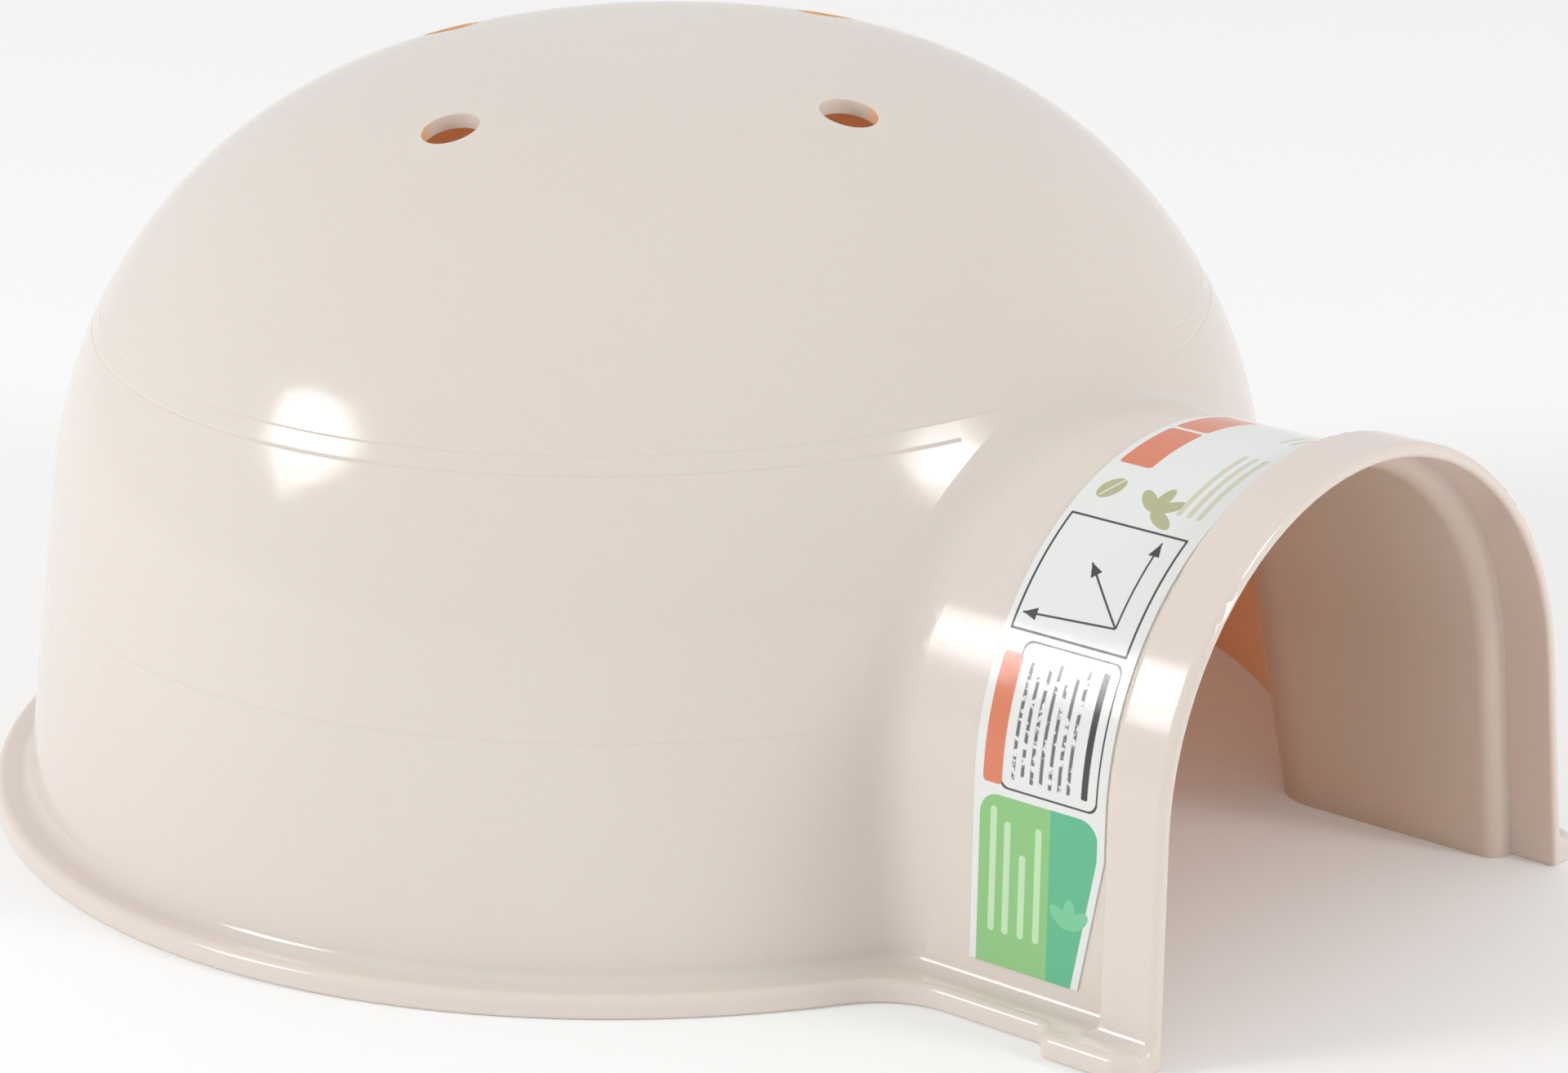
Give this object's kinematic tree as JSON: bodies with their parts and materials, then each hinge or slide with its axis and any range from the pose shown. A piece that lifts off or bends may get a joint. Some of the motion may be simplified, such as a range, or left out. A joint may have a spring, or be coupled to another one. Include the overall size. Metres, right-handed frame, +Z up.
{
  "type": "small animal igloo",
  "caption": "One-piece moulded plastic dome shelter with a short arched tunnel, open at the floor, rimmed at the foot, vented at the crown, with a film label over the tunnel.",
  "frame": {"origin": "on the floor, under the middle of the bounding box", "axes": "+Z up, the tunnel mouth faces -Y, the back of the dome faces +Y"},
  "size_m": [0.165, 0.19, 0.09],
  "materials": {
    "shell": "glossy ivory injection-moulded plastic, slightly see-through where it is thin",
    "label": "white printed film with green and teal fields and plain pictograms, no lettering"
  },
  "bodies": {
    "root": {"shell": "shell", "label": "label"}
  },
  "joints": []
}
